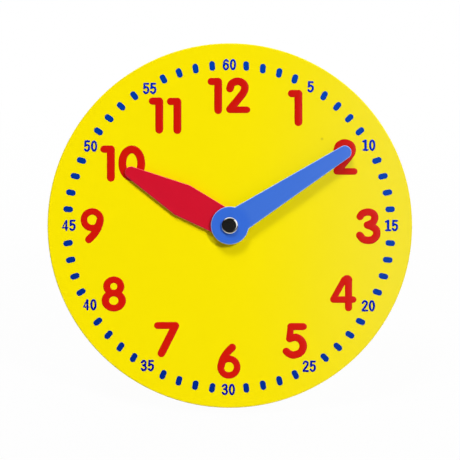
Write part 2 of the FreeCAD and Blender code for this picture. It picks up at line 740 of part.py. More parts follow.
def stand_leg():
    """Moulded leg with hollowed front, hinge barrels, and heels cut to meet their stops."""
    panel = leg_panel(0, WINDOW_CORNER_RADIUS, leg_front, leg_back)
    pocket = leg_panel(LEG_WALL, 0, leg_front, leg_front + LEG_POCKET)
    pocket_top = hinge_z - HINGE_BARREL_DIA
    pocket_low = foot_bar_top
    limits = block(-arm_outer, arm_outer, leg_front, leg_back, pocket_low, pocket_top)
    barrels = [rod(HINGE_BARREL_DIA / 2, arm_inner, arm_outer, hinge_y, hinge_z)]
    barrels.append(mirrored(barrels[0]))
    solid = joined([panel.cut(pocket.common(limits))] + barrels)
    solid = solid.cut(rod(PIN_DIA / 2 + RUNNING_FIT, -arm_outer, arm_outer, hinge_y, hinge_z))
    solid = opened(solid).common(above_table(PAD_HEIGHT))
    reach = arm_outer + SWING_GAP
    below_stop = block(-reach, reach, 0, stop_top + STOP_GAP, hinge_z, leg_top + HEEL_LENGTH)
    return solid.cut(below_stop)


def leg_pads():
    """Two rubber pads under the leg's foot, flat on the table when the leg is open."""
    pads = []
    for left in (-FOOT_HALF_WIDTH, FOOT_HALF_WIDTH - PAD_WIDTH):
        low = leg_end - PAD_HEIGHT
        high = leg_end + 2 * PAD_HEIGHT
        slab = block(left, left + PAD_WIDTH, leg_front - PAD_LIP, leg_back + PAD_LIP, low, high)
        pads.append(opened(slab).common(above_table(0)).cut(above_table(PAD_HEIGHT)))
    return Part.Compound(pads)


# ---------------------------------------------------------------- assembly and files
NODES = {
    "dial_plate": dial_plate,
    "idler_post": idler_post,
    "gear_cover": gear_cover,
    "cover_screws": cover_screws,
    "friction_washer": friction_washer,
    "hanger_plate": hanger_plate,
    "hanger_screws": hanger_screws,
    "stand_pin": stand_pin,
    "pin_clip": pin_clip,
    "minute_hand": minute_hand,
    "hour_hand": hour_hand,
    "hand_washer": hand_washer,
    "spindle": spindle,
    "spindle_cap": spindle_cap,
    "minute_pinion": minute_pinion,
    "setting_knob": setting_knob,
    "knob_screw": knob_screw,
    "hour_wheel": hour_wheel,
    "idler_gear": idler_gear,
    "stand_leg": stand_leg,
    "leg_pads": leg_pads,
}


def build():
    """All pieces, leaning on the leg, with the origin on the table under the middle."""
    pieces = {name: make() for name, make in NODES.items()}
    for name in pieces:
        pieces[name] = pieces[name].rotated(ORIGIN, AXIS_X, -LEAN)
    box = Part.Compound(list(pieces.values())).optimalBoundingBox(False, False)
    shift = FreeCAD.Vector(0, -(box.YMin + box.YMax) / 2, table_drop)
    for name in pieces:
        pieces[name] = pieces[name].translated(shift)
    return pieces, shift


pieces, shift = build()
os.makedirs("parts", exist_ok=True)
for name, piece in pieces.items():
    piece.exportStep("parts/" + name + ".step")
    print(name, "solids", len(piece.Solids), "volume", round(piece.Volume, 2), "valid", piece.isValid())
spindle_at = ORIGIN + shift
hinge_at = FreeCAD.Rotation(AXIS_X, -LEAN).multVec(hinge) + shift
print("spindle axis passes", tuple(spindle_at), "leg hinge", tuple(hinge_at))
print("leg opens by", open_angle, "table below the spindle", table_drop)
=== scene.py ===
# %% [markdown]
# # A geared teaching clock
# The clock is a round yellow dial with two coloured hands, moulded in hard plastic.
# Its hands are joined by gears behind the dial, and it leans back on a folding leg.
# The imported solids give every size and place. This lesson gives them their looks:
# soft moulded edges, printed numbers, and a finish for each kind of plastic and metal.

# %% Load the frame
import json
import math
import bpy
from mathutils import Matrix, Vector

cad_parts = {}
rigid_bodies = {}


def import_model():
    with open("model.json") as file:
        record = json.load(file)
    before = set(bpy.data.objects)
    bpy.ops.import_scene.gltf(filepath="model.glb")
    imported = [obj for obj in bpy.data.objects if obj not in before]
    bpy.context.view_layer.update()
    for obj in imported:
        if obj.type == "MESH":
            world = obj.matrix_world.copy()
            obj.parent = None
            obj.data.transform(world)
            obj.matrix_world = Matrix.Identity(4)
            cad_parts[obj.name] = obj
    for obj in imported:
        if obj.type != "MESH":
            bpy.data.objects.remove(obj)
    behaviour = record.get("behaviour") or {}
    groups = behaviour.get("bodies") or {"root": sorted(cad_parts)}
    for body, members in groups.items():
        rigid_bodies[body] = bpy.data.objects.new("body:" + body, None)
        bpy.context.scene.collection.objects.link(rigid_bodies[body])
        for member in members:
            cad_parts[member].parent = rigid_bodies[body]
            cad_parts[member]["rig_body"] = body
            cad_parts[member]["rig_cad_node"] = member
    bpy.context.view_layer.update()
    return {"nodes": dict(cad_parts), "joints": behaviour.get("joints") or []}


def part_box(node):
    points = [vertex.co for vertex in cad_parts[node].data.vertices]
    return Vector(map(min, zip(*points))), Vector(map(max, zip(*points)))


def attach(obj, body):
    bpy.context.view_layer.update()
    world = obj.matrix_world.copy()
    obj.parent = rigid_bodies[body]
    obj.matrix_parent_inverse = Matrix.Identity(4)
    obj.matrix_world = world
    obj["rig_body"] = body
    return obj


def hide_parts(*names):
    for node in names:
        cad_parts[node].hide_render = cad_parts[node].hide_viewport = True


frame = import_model()

# %% [markdown]
# ## The dial's own directions
# The dial leans back 20 degrees, so it is easier to work as if it stood upright.
# In dial directions x is right, y goes into the dial, z is up towards 12, and zero is
# the middle of the front face. One matrix carries a finished mesh from there to its place.
# The turning axis of the minute hand gives both the lean and the middle of the dial.

# %% The dial's place
MM = 0.001
turn = next(j for j in frame["joints"] if j["name"] == "minute_hand_turn")
across = Vector((1, 0, 0))
rearward = Vector(turn["axis"]).normalized()
dial_up = across.cross(rearward)
DIAL_PLACE = Matrix.Translation(turn["pos_m"]) @ Matrix((
    (across.x, rearward.x, dial_up.x, 0),
    (across.y, rearward.y, dial_up.y, 0),
    (across.z, rearward.z, dial_up.z, 0),
    (0, 0, 0, 1)))
print("lean:", round(math.degrees(math.asin(-rearward.z)), 2), "degrees")


def dial_point(x, y, z):
    """A point given in millimetres on the dial, as a place in the room in metres."""
    return DIAL_PLACE @ Vector((x * MM, y * MM, z * MM))


# %% [markdown]
# ## Handling pieces
# An operator works on everything that is selected, and the loaded solids start selected.
# So each step first lets go of everything and then takes the one piece it is about.
# A finished piece has its place in its mesh, rides on a body and has one finish.

# %% Helpers for pieces
def let_go():
    if bpy.context.mode != "OBJECT":
        bpy.ops.object.mode_set(mode="OBJECT")
    bpy.ops.object.select_all(action="DESELECT")


def take(*pieces):
    """Selects only these pieces, and makes the first one the active piece."""
    let_go()
    for piece in pieces:
        piece.select_set(True)
    bpy.context.view_layer.objects.active = pieces[0]


def set_on_dial(piece):
    """Carries a piece made in dial directions to its place, which ends up in its mesh."""
    take(piece)
    piece.matrix_world = DIAL_PLACE @ piece.matrix_world
    bpy.ops.object.transform_apply(location=True, rotation=True, scale=True)
    return piece


def finish_piece(piece, body, material, slot, *nodes):
    """Gives a piece its finish, sets it on its body and hides the solids it stands for."""
    piece.data.materials.clear()
    piece.data.materials.append(material)
    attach(piece, body)
    if nodes:
        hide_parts(*nodes)
    print(piece.name, len(piece.data.polygons), "faces")


print("selected at the start:", len(bpy.context.selected_objects), "objects")

# %% [markdown]
# ## Colours and nodes
# A hex colour is written the way the eye and a paint chart give it. Blender mixes light in
# linear values, so one function turns the first into the second.
# One more function adds a shader node with its settings and links, for every kind of node.

# %% Helpers for materials
def linear(hex_colour):
    """A hex colour as linear red, green and blue, with full cover."""
    parts = [int(hex_colour[i:i + 2], 16) / 255 for i in (0, 2, 4)]
    light = [p / 12.92 if p <= 0.04045 else ((p + 0.055) / 1.055) ** 2.4 for p in parts]
    return (*light, 1)


def add_node(tree, kind, inputs=None, **settings):
    """Adds a node. An input is a value, or the socket of another node that it is linked to."""
    node = tree.nodes.new(kind)
    for name, value in settings.items():
        setattr(node, name, value)
    for socket, value in (inputs or {}).items():
        if isinstance(value, bpy.types.NodeSocket):
            tree.links.new(value, node.inputs[socket])
        else:
            node.inputs[socket].default_value = value
    return node


def new_material(name, **sockets):
    """A new material, its tree and its shader, with the shader's constant sockets set."""
    material = bpy.data.materials.new(name)
    material.use_nodes = True
    shader = material.node_tree.nodes["Principled BSDF"]
    for socket, value in sockets.items():
        shader.inputs[socket.replace("_", " ")].default_value = value
    return material, material.node_tree, shader


print("a middle grey is", round(linear("808080")[0], 3), "of the light of white")

# %% [markdown]
# ## Moulded plastic
# Most of the clock is ABS, an opaque plastic that is pressed hot into a steel mould: the
# dial, leg, hands, thumb wheel and coloured gears. A polished mould leaves an even colour
# and a soft gloss, with a very faint ripple of about 2 mm, clouds of colour of about 40 mm,
# and patches of about 20 mm where the mould is worn and the gloss is a little different.
# A single colour would look like a drawing. So the shader starts from a colour, and every
# trait is a layer mixed over it: a share from 0 to 1, and the colour that the share brings.
# The layers read Object coordinates, so they keep their size and place on the piece.

# %% Moulded plastic
CLOUDS, WORN, RIPPLE = 40 * MM, 20 * MM, 2 * MM
GLOSS_SWAY = 0.015
# Painted shade on the dial's right side: it starts 20 mm right of the middle and is full at 150
# mm.
RIGHT_SHADE_STARTS, RIGHT_SHADE_FULL = 20 * MM, 150 * MM
# How far a face looks out of the dial: 1 is straight out, and a sloping edge has less.
FLAT_FRONT, SLOPING_EDGE = 0.985, 0.8
# How far a face looks backward: -1 is straight out of the dial, and 0 is sideways.
POLISHED_TO, DULL_FROM = -0.7, -0.2


def moulded_plastic(name, colour, cloud, roughness, right_shade=None, spot=None, edge_highlight=None, satin=None):
    """A plastic in one colour, with faint clouds of a second one and some extra layers."""
    material, tree, shader = new_material(name, IOR=1.5)
    surface = add_node(tree, "ShaderNodeTexCoord")
    place, looking = surface.outputs["Object"], surface.outputs["Normal"]

    clouds = add_node(tree, "ShaderNodeTexNoise", {
        "Vector": place, "Scale": 1 / CLOUDS, "Detail": 3.0})
    layers = [(clouds.outputs["Fac"], cloud)]
    # Painted shade: this layer darkens the plastic towards its right side.
    if right_shade:
        sideways = add_node(tree, "ShaderNodeSeparateXYZ", {"Vector": place})
        side = add_node(tree, "ShaderNodeMapRange", {
            "Value": sideways.outputs["X"], "From Min": RIGHT_SHADE_STARTS, "From Max": RIGHT_SHADE_FULL})
        layers.append((side.outputs["Result"], right_shade))
    # A spot paints a real speck, and also the painted shade round the middle of the blue hand.
    if spot:
        middle, inner, outer, deep = spot
        away = add_node(tree, "ShaderNodeVectorMath", {0: place, 1: middle}, operation="DISTANCE")
        near = add_node(tree, "ShaderNodeMapRange", {
            "Value": away.outputs["Value"], "From Min": outer * MM, "From Max": inner * MM})
        layers.append((near.outputs["Result"], deep))
    # Painted highlight: faces that slope away from the front are painted paler.
    if edge_highlight:
        forward = add_node(tree, "ShaderNodeVectorMath", {
            0: looking, 1: -rearward}, operation="DOT_PRODUCT")
        edge = add_node(tree, "ShaderNodeMapRange", {
            "Value": forward.outputs["Value"], "From Min": FLAT_FRONT, "From Max": SLOPING_EDGE})
        layers.append((edge.outputs["Result"], edge_highlight))
    tint = linear(colour)
    for share, second in layers:
        tint = add_node(tree, "ShaderNodeMix", {
            "Factor": share, "A": tint, "B": linear(second)}, data_type="RGBA").outputs["Result"]
    tree.links.new(tint, shader.inputs["Base Color"])

    worn = add_node(tree, "ShaderNodeTexNoise", {
        "Vector": place, "Scale": 1 / WORN, "Detail": 2.0})
    gloss = add_node(tree, "ShaderNodeMapRange", {
        "Value": worn.outputs["Fac"], "From Min": 0.3, "From Max": 0.7,
        "To Min": roughness - GLOSS_SWAY, "To Max": roughness + GLOSS_SWAY}).outputs["Result"]
    if satin:
        backward = add_node(tree, "ShaderNodeVectorMath", {
            0: looking, 1: rearward}, operation="DOT_PRODUCT")
        dull = add_node(tree, "ShaderNodeMapRange", {
            "Value": backward.outputs["Value"], "From Min": POLISHED_TO, "From Max": DULL_FROM,
            "To Max": satin})
        gloss = add_node(tree, "ShaderNodeMath", {
            0: gloss, 1: dull.outputs["Result"]}, operation="MAXIMUM").outputs["Value"]
    tree.links.new(gloss, shader.inputs["Roughness"])

    ripple = add_node(tree, "ShaderNodeTexNoise", {
        "Vector": place, "Scale": 1 / RIPPLE, "Detail": 2.0})
    relief = add_node(tree, "ShaderNodeBump", {
        "Height": ripple.outputs["Fac"], "Strength": 0.02, "Distance": 0.5 * MM})
    tree.links.new(relief.outputs["Normal"], shader.inputs["Normal"])
    return material


print("clouds", round(CLOUDS / MM), "mm, worn patches", round(WORN / MM), "mm")

# %% [markdown]
# ## The plastics of this clock
# The plastics differ in small traits, and each trait is an extra layer. Some of the traits
# are painted light and shade, and the causes given for the others are guesses:
# - right shade: the dial is painted a little darker towards its right side, as painted shade.
# - spot: there is one dark speck in the dial, and the blue hand is painted deeper in tone
#   round its middle, as painted shade. A spot has a middle, an inner radius where it is
#   full and an outer one where it ends, and a colour. The two radii are in millimetres.
# - edge highlight: the sloping edge of a hand is painted paler than its flat front, a
#   painted highlight where the edge catches the light.
# - satin: only the mould's face for the front of the dial is polished. The skirt and the
#   back are duller, and so is the whole leg.
# The idler gears and the thin washer are acetal, a slippery white plastic for gears.

# %% The clock's plastics
speck = (dial_point(75.8, 0, 71.2), 0.5, 1.5, "D9C60A")
# Painted shade: the blue hand is painted deeper in tone round its middle.
hub_shade = (dial_point(0, -6, 0), 14, 19, "366BD6")
# The dial's darker right side is painted shade.
yellow_abs = moulded_plastic(
    "abs_yellow_moulded", "F8E502", "F8E303", 0.14, right_shade="EEDC05", spot=speck, satin=0.42)
leg_abs = moulded_plastic("abs_yellow_satin", "F8E502", "F5E104", 0.3)
blue_abs = moulded_plastic("abs_blue_moulded", "4275D8", "3F71D6", 0.24)
red_abs = moulded_plastic("abs_red_moulded", "D0142B", "CB122D", 0.24)
# The paler sloping edges of the hands are a painted highlight.
blue_hand_abs = moulded_plastic(
    "abs_blue_painted_edge_highlight", "4072D6", "3D6ED4", 0.16, spot=hub_shade, edge_highlight="90BCFF")
red_hand_abs = moulded_plastic("abs_red_painted_edge_highlight", "D2152C", "CD132E", 0.16, edge_highlight="E8344C")
white_acetal = moulded_plastic("acetal_white_moulded", "E9E8E2", "E4E3DB", 0.3)
for plastic in (yellow_abs, leg_abs, blue_abs, red_abs, blue_hand_abs, red_hand_abs, white_acetal):
    print(plastic.name, len(plastic.node_tree.nodes), "nodes")

# %% [markdown]
# ## Screen-printed ink
# The film has a smooth gloss with a fine grain from the mesh, drawn at 0.6 mm so that it can
# be seen. Their colour is painted along one slope over the dial, as painted light and shade:
# the blue inks are deeper at the lower left and lighter towards the upper right, and the red
# ink turns a little darker along the same slope. The film has a smooth gloss with a fine
# grain from the printing screen, drawn at 0.6 mm.
# Each number could get its own colour by hand. One slope over the whole dial is simpler, and
# it stays right when a number moves. The grain sways the slope, so that it isn't ruled.

# %% Ink
GRAIN, GRAIN_SWAY = 0.6 * MM, 30 * MM
LIGHT_SLOPE_ANGLE = math.radians(35)
LIGHT_SLOPE_REACH = 130 * MM
# Painted light and shade: the ink's colour changes along this slope, up and to the right.
light_slope = dial_up * math.cos(LIGHT_SLOPE_ANGLE) + across * math.sin(LIGHT_SLOPE_ANGLE)
light_slope_middle = DIAL_PLACE.translation.dot(light_slope) + GRAIN_SWAY / 2


def printed_ink(name, shaded_tint, lit_tint, shine):
    """Ink mixed from a painted shaded and a painted lit colour along one slope over the dial."""
    material, tree, shader = new_material(name, IOR=1.48, Specular_IOR_Level=shine)
    place = add_node(tree, "ShaderNodeTexCoord").outputs["Object"]
    grain = add_node(tree, "ShaderNodeTexNoise", {
        "Vector": place, "Scale": 1 / GRAIN, "Detail": 2.0})
    along = add_node(tree, "ShaderNodeVectorMath", {0: place, 1: light_slope}, operation="DOT_PRODUCT")
    uneven = add_node(tree, "ShaderNodeMath", {
        0: grain.outputs["Fac"], 1: GRAIN_SWAY, 2: along.outputs["Value"]},
        operation="MULTIPLY_ADD")
    # Painted light and shade: the share of the lit colour along the slope.
    lit_share = add_node(tree, "ShaderNodeMapRange", {
        "Value": uneven.outputs["Value"],
        "From Min": light_slope_middle - LIGHT_SLOPE_REACH, "From Max": light_slope_middle + LIGHT_SLOPE_REACH})
    tint = add_node(tree, "ShaderNodeMix", {
        "Factor": lit_share.outputs["Result"], "A": linear(shaded_tint), "B": linear(lit_tint)},
        data_type="RGBA")
    tree.links.new(tint.outputs["Result"], shader.inputs["Base Color"])
    gloss = add_node(tree, "ShaderNodeMapRange", {
        "Value": grain.outputs["Fac"], "To Min": 0.15, "To Max": 0.23})
    tree.links.new(gloss.outputs["Result"], shader.inputs["Roughness"])
    return material


# Each ink gets a painted shaded colour for the lower left and a painted lit one for the upper
# right.
red_ink = printed_ink("screen_ink_red", "D0170A", "C9130A", 0.25)
blue_ink = printed_ink("screen_ink_blue", "002A8C", "0040AC", 0.1)
navy_ink = printed_ink("screen_ink_navy", "000E96", "002EBC", 0.1)
print("inks:", red_ink.name, blue_ink.name, navy_ink.name)

# %% [markdown]
# ## Metals
# The spindle, screws, pin and hanger are zinc-plated steel: a grey metal with a faint blue
# cast, with clouds of about 4 mm because the plating is uneven. The cap on the spindle is
# bright nickel, which is smooth enough to show its surroundings like a mirror.
# Both are platings, so one function makes both. The same clouds change the tint and the
# roughness, so that a patch differs in both and doesn't look painted on.

# %% Plated steel and nickel
BLOOM = 4 * MM
SMOOTHEST, ROUGHEST = 0.8, 1.3


def plated_metal(name, colour, second, roughness):
    """A plated metal in two close greys, a little smoother or rougher than its roughness."""
    material, tree, shader = new_material(name, Metallic=1.0)
    place = add_node(tree, "ShaderNodeTexCoord").outputs["Object"]
    bloom = add_node(tree, "ShaderNodeTexNoise", {
        "Vector": place, "Scale": 1 / BLOOM, "Detail": 6.0})
    tint = add_node(tree, "ShaderNodeMix", {
        "Factor": bloom.outputs["Fac"], "A": linear(colour), "B": linear(second)},
        data_type="RGBA")
    tree.links.new(tint.outputs["Result"], shader.inputs["Base Color"])
    gloss = add_node(tree, "ShaderNodeMapRange", {
        "Value": bloom.outputs["Fac"],
        "To Min": roughness * SMOOTHEST, "To Max": roughness * ROUGHEST})
    tree.links.new(gloss.outputs["Result"], shader.inputs["Roughness"])
    return material


zinc_steel = plated_metal("steel_zinc_plated", "C4C9CE", "B4B9BC", 0.32)
bright_nickel = plated_metal("nickel_bright_plated", "D9D8D2", "D2D1CB", 0.08)
print("metals:", zinc_steel.name, bright_nickel.name)

# %% [markdown]
# ## The clear cover
# The cover of the gear case is clear acrylic, moulded with a polished face, so the gears
# can be seen through it. Its polish is uneven in patches of about 6 mm.
# A see-through mix would render sooner, but only real transmission bends the light at the
# edges of the cover as acrylic does.

# %% Acrylic
POLISH = 6 * MM
clear_acrylic, tree, shader = new_material(
    "acrylic_clear_moulded", Transmission_Weight=1.0, IOR=1.49, Base_Color=linear("F4F8F8"))
place = add_node(tree, "ShaderNodeTexCoord").outputs["Object"]
polish = add_node(tree, "ShaderNodeTexNoise", {
    "Vector": place, "Scale": 1 / POLISH, "Detail": 4.0})
gloss = add_node(tree, "ShaderNodeMapRange", {
    "Value": polish.outputs["Fac"], "To Min": 0.02, "To Max": 0.07})
tree.links.new(gloss.outputs["Result"], shader.inputs["Roughness"])
print(clear_acrylic.name, len(tree.nodes), "nodes")

# %% [markdown]
# ## Rubber
# The foot pads and the friction washer are black rubber, matt from the sparked surface of
# their mould, with a grain of about 0.5 mm. The grain could be modelled, but it is so fine
# that a bump in the shader gives the eye the same with no extra faces.

# %% Rubber
SPARKS = 0.5 * MM
black_rubber, tree, shader = new_material("rubber_black_moulded", IOR=1.52)
place = add_node(tree, "ShaderNodeTexCoord").outputs["Object"]
grain = add_node(tree, "ShaderNodeTexNoise", {
    "Vector": place, "Scale": 1 / SPARKS, "Detail": 3.0})
tint = add_node(tree, "ShaderNodeMix", {
    "Factor": grain.outputs["Fac"], "A": linear("1C1C1D"), "B": linear("2A2A2B")},
    data_type="RGBA")
tree.links.new(tint.outputs["Result"], shader.inputs["Base Color"])
gloss = add_node(tree, "ShaderNodeMapRange", {
    "Value": grain.outputs["Fac"], "To Min": 0.65, "To Max": 0.85})
tree.links.new(gloss.outputs["Result"], shader.inputs["Roughness"])
relief = add_node(tree, "ShaderNodeBump", {
    "Height": grain.outputs["Fac"], "Strength": 0.3, "Distance": 0.3 * MM})
tree.links.new(relief.outputs["Normal"], shader.inputs["Normal"])
print(black_rubber.name, len(tree.nodes), "nodes")

# %% [markdown]
# ## Soft moulded edges
# A mould is never quite sharp, so every edge of a moulded piece is a little round and
# catches a thin line of light. The solid has the shape, so each piece starts as a copy of
# its solid. The copy's loose triangles are merged, its flat triangles become flat faces,
# and a Bevel modifier rounds the edges that are left. Smooth shading alone would smear the
# rounds over the flat faces beside them, so a Weighted Normal modifier lets the large faces
# decide which way the surface looks.

# %% A softened copy of a solid
MERGE_WITHIN = 0.004 * MM
FLAT_WITHIN = math.radians(0.6)
SHARP_FROM = math.radians(28)


def shaded(piece, angle=32):
    """Shades the small rounds smooth and keeps the large flat faces looking flat."""
    take(piece)
    bpy.ops.object.shade_smooth_by_angle(angle=math.radians(angle))
    weights = piece.modifiers.new("flat_faces_first", "WEIGHTED_NORMAL")
    weights.keep_sharp = True
    weights.weight = 100
    bpy.ops.object.modifier_apply(modifier=weights.name)
    return piece


def softened(node, name, edge_mm, steps):
    """A copy of a solid whose edges are rounded in some steps."""
    take(frame["nodes"][node])
    bpy.ops.object.duplicate(linked=False)
    piece = bpy.context.object
    bpy.ops.object.parent_clear(type="CLEAR_KEEP_TRANSFORM")
    piece.name = name
    # The copy is a new piece, so it loses the tags that mark its solid.
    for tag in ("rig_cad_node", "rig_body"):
        if tag in piece:
            del piece[tag]
    take(piece)
    bpy.ops.mesh.customdata_custom_splitnormals_clear()
    bpy.ops.object.mode_set(mode="EDIT")
    bpy.ops.mesh.select_all(action="SELECT")
    bpy.ops.mesh.remove_doubles(threshold=MERGE_WITHIN)
    bpy.ops.mesh.dissolve_limited(angle_limit=FLAT_WITHIN)
    bpy.ops.object.mode_set(mode="OBJECT")
    bevel = piece.modifiers.new("soft_edge", "BEVEL")
    bevel.width = edge_mm * MM
    bevel.segments = steps
    bevel.limit_method = "ANGLE"
    bevel.angle_limit = SHARP_FROM
    bevel.use_clamp_overlap = False
    bpy.ops.object.modifier_apply(modifier=bevel.name)
    return shaded(piece)


def dress(node, name, edge_mm, body, material, slot, steps=2):
    """Puts a softened copy, with its finish, in the place of a solid."""
    finish_piece(softened(node, name, edge_mm, steps), body, material, slot, node)


print("edges that turn more than", round(math.degrees(SHARP_FROM)), "degrees are rounded")

# %% [markdown]
# ## The dial and what is behind it
# The dial is one moulding with a skirt, ribs, the wall of the gear case and the hinge ears.
# It could be modelled again from a disc, but its solid has all of that in place. The front
# edge slopes there too, so the copy only loses the last sharpness, 0.08 mm.
# The leg and its pads have rounder edges of 0.4 mm, and the small steel parts 0.15 mm.

# %% Dial, leg and hanger
dress("dial_plate", "dial", 0.08, "dial", yellow_abs, "dial_yellow")
dress("stand_leg", "leg", 0.4, "stand", leg_abs, "dial_yellow")
dress("leg_pads", "foot_pads", 0.4, "stand", black_rubber, "pad_rubber")
dress("hanger_plate", "hanger", 0.15, "dial", zinc_steel, "steel")
dress("hanger_screws", "hanger_screw_pair", 0.15, "dial", zinc_steel, "steel")
dress("stand_pin", "hinge_pin", 0.15, "dial", zinc_steel, "steel")
dress("pin_clip", "hinge_clip", 0.15, "dial", zinc_steel, "steel")

# %% [markdown]
# ## Marks of the mould
# When the moulded dial has cooled, steel pins push it out of the mould from behind. Each pin
# leaves a faint round mark with a rim. The marks could be pressed into the dial with a
# Boolean, which can leave long thin faces on its back. A small raised mark of its own is
# cleaner: a flat cylinder whose edge is bevelled, and whose middle is inset and
# pressed in. It is copied between the ribs, on the floor of the tray.

# %% One ejector mark
FLOOR_OF_TRAY = 3.0 * MM
PIN_RADIUS, MARK_DEPTH = 3.5 * MM, 0.5 * MM
MARK_SOFT, MARK_RIM, MARK_DIP = 0.12 * MM, 0.55 * MM, 0.15 * MM


def faces_facing(piece, direction):
    """Selects, in edit mode, the faces that look along a direction."""
    bpy.ops.object.mode_set(mode="OBJECT")
    for face in piece.data.polygons:
        face.select = face.normal.dot(Vector(direction)) > 0.99
    bpy.ops.object.mode_set(mode="EDIT")


let_go()
bpy.ops.mesh.primitive_cylinder_add(
    vertices=36, radius=PIN_RADIUS, depth=MARK_DEPTH,
    location=(0, FLOOR_OF_TRAY, 0), rotation=(math.pi / 2, 0, 0))
mark = bpy.context.object
bpy.ops.object.transform_apply(location=True, rotation=True, scale=True)
bpy.ops.object.mode_set(mode="EDIT")
bpy.ops.mesh.select_mode(type="FACE")
faces_facing(mark, (0, 1, 0))
bpy.ops.mesh.bevel(offset=MARK_SOFT, segments=2, affect="EDGES")
faces_facing(mark, (0, 1, 0))
bpy.ops.mesh.inset(thickness=MARK_RIM)
bpy.ops.mesh.extrude_region_move(TRANSFORM_OT_translate={"value": (0, -MARK_DIP, 0)})
bpy.ops.object.mode_set(mode="OBJECT")
print("one mark:", len(mark.data.polygons), "faces")

# %% All ejector marks
# Each ring has a radius in millimetres, and angles clockwise from 12.
PIN_RINGS = ((84, (45, 90, 135, 180, 225, 270, 315)), (127, (45, 90, 135, 225, 270, 315)))
pin_marks = []
for radius, angles in PIN_RINGS:
    for angle in angles:
        take(mark)
        bpy.ops.object.duplicate(linked=False)
        copy = bpy.context.object
        copy.location = (radius * MM * math.sin(math.radians(angle)), 0,
                         radius * MM * math.cos(math.radians(angle)))
        pin_marks.append(copy)
take(*pin_marks)
bpy.ops.object.transform_apply(location=True, rotation=True, scale=True)
bpy.ops.object.join()
ejector_marks = bpy.context.object
ejector_marks.name = "ejector_marks"
bpy.data.objects.remove(mark)
finish_piece(set_on_dial(shaded(ejector_marks)), "dial", yellow_abs, "dial_yellow")
print("pin marks:", len(pin_marks))

# %% [markdown]
# ## The movement
# Behind the dial two pairs of gears slow the hour hand to a twelfth of the minute hand.
# Teeth could be spun from one drawn tooth, but then they would only look right. The solids
# have teeth that mesh, so their copies just lose the last sharpness, in one step.
# The clear cover and the thumb wheel are mouldings with rounder edges.

# %% Gears, cover and knob
dress("hour_wheel", "hour_gear", 0.06, "hour_train", red_abs, "hand_red", steps=1)
dress("idler_gear", "idler_gears", 0.06, "idler", white_acetal, "acetal_white", steps=1)
dress("minute_pinion", "drive_pinion", 0.06, "minute_train", blue_abs, "hand_blue", steps=1)
dress("idler_post", "gear_post", 0.15, "dial", zinc_steel, "steel")
dress("spindle", "centre_spindle", 0.1, "minute_train", zinc_steel, "steel")
dress("gear_cover", "case_cover", 0.3, "dial", clear_acrylic, "clear_cover")
dress("cover_screws", "cover_screw_pair", 0.15, "dial", zinc_steel, "steel")
dress("friction_washer", "drag_washer", 0.1, "dial", black_rubber, "pad_rubber")
dress("setting_knob", "turning_knob", 0.35, "minute_train", blue_abs, "hand_blue")
dress("knob_screw", "knob_centre_screw", 0.12, "minute_train", zinc_steel, "steel")
dress("hand_washer", "spacer_washer", 0.1, "minute_train", white_acetal, "acetal_white")

# %% [markdown]
# ## The hands
# Each hand is a flat moulding 2 mm thick. Its front edge already slopes in the solid. A
# flat slope would show as a hard pale line, so the copy rounds it in three steps, and the
# light fades over it.

# %% Hands
dress("minute_hand", "long_hand", 0.5, "minute_train", blue_hand_abs, "hand_blue", steps=3)
dress("hour_hand", "short_hand", 0.5, "hour_train", red_hand_abs, "hand_red", steps=3)

# %% [markdown]
# ## The bright cap
# A pressed nickel cap is pushed on the end of the spindle. A flattened ball would be the
# quickest way to make it, but a mirror-like metal shows every turn of its surface, and this
# cap is flat with a narrow round edge, which is lower than it is wide.
# So it starts as a short cylinder. Its front is inset ring by ring, and each ring comes
# forward a little less, until the edge has turned into the flat. The flat shows the dark
# room in front of it, and the edge shows the pale parts of the room as bright arcs.
# The back is inset and pushed in, as a pressed cap is hollow.

# %% Cap
EDGE_WIDTH, EDGE_HEIGHT, EDGE_STEPS = 1.5 * MM, 0.8 * MM, 12
CAP_WALL, CAP_HOLLOW = 0.8 * MM, 0.4 * MM
low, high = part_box("spindle_cap")
to_dial = DIAL_PLACE.inverted()
depths = [(to_dial @ v.co).y for v in frame["nodes"]["spindle_cap"].data.vertices]
cap_front, cap_back = min(depths), max(depths)
print("cap from", round(cap_front / MM, 2), "to", round(cap_back / MM, 2), "mm")
let_go()
bpy.ops.mesh.primitive_cylinder_add(
    vertices=96, radius=(high.x - low.x) / 2, depth=cap_back - cap_front - EDGE_HEIGHT,
    location=(0, (cap_front + EDGE_HEIGHT + cap_back) / 2, 0), rotation=(math.pi / 2, 0, 0))
cap = bpy.context.object
cap.name = "bright_cap"
bpy.ops.object.transform_apply(location=True, rotation=True, scale=True)
bpy.ops.object.mode_set(mode="EDIT")
bpy.ops.mesh.select_mode(type="FACE")
faces_facing(cap, (0, -1, 0))
turns = [math.pi / 2 * i / EDGE_STEPS for i in range(EDGE_STEPS + 1)]
for a, b in zip(turns, turns[1:]):
    bpy.ops.mesh.inset(thickness=EDGE_WIDTH * (math.cos(a) - math.cos(b)))
    bpy.ops.transform.translate(value=(0, -EDGE_HEIGHT * (math.sin(b) - math.sin(a)), 0))
faces_facing(cap, (0, 1, 0))
bpy.ops.mesh.inset(thickness=CAP_WALL)
bpy.ops.mesh.extrude_region_move(TRANSFORM_OT_translate={"value": (0, -CAP_HOLLOW, 0)})
bpy.ops.object.mode_set(mode="OBJECT")
cap = set_on_dial(shaded(cap, 40))
finish_piece(cap, "minute_train", bright_nickel, "cap_bright", "spindle_cap")

# %% [markdown]
# ## Drawing the numbers
# The numbers are a film of ink on the dial. A font could draw them, but its figures would
# have the font's own shapes and ends. These are drawn as a signwriter draws them, with
# strokes of one width and round ends. A curve with a round bevel is such a stroke. A smooth
# line goes through a few given points, and at each end smaller and smaller circles close it
# to a round tip. The tubes are then pressed almost flat.

# %% Lines
LINE_STEPS, RING_STEPS = 7, 32


